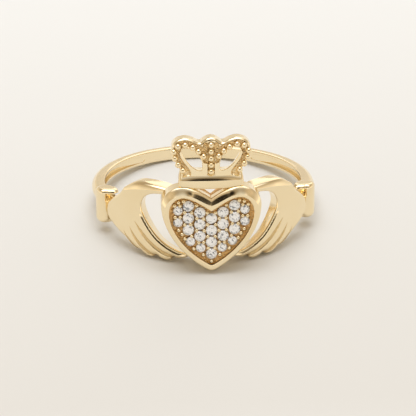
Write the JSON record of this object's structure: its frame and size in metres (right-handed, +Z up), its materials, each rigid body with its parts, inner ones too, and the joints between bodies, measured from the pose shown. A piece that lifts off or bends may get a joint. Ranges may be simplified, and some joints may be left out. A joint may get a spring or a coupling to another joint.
{
  "type": "claddagh ring",
  "caption": "Polished gold claddagh ring: two hands hold a crowned heart paved with round brilliant stones.",
  "frame": {"origin": "centre of the finger hole, on the finger's axis and midway across the shank's width", "axes": "+Z up as the ring lies on a level table, -Y towards the front of the heart, +X to the right of the heart as seen from its front; the finger's axis leans 9.9 degrees from +Z towards +Y"},
  "size_m": [0.0196, 0.0216, 0.0117],
  "materials": {
    "gold": "polished 14 karat yellow gold",
    "cut_stone": "colourless cubic zirconia, cut and polished"
  },
  "bodies": {
    "root": {"ring_casting": "gold", "stone_01": "cut_stone", "stone_02": "cut_stone", "stone_03": "cut_stone", "stone_04": "cut_stone", "stone_05": "cut_stone", "stone_06": "cut_stone", "stone_07": "cut_stone", "stone_08": "cut_stone", "stone_09": "cut_stone", "stone_10": "cut_stone", "stone_11": "cut_stone", "stone_12": "cut_stone", "stone_13": "cut_stone", "stone_14": "cut_stone", "stone_15": "cut_stone", "stone_16": "cut_stone", "stone_17": "cut_stone", "stone_18": "cut_stone", "stone_19": "cut_stone", "stone_20": "cut_stone", "stone_21": "cut_stone", "stone_22": "cut_stone", "stone_23": "cut_stone", "stone_24": "cut_stone"}
  },
  "joints": []
}
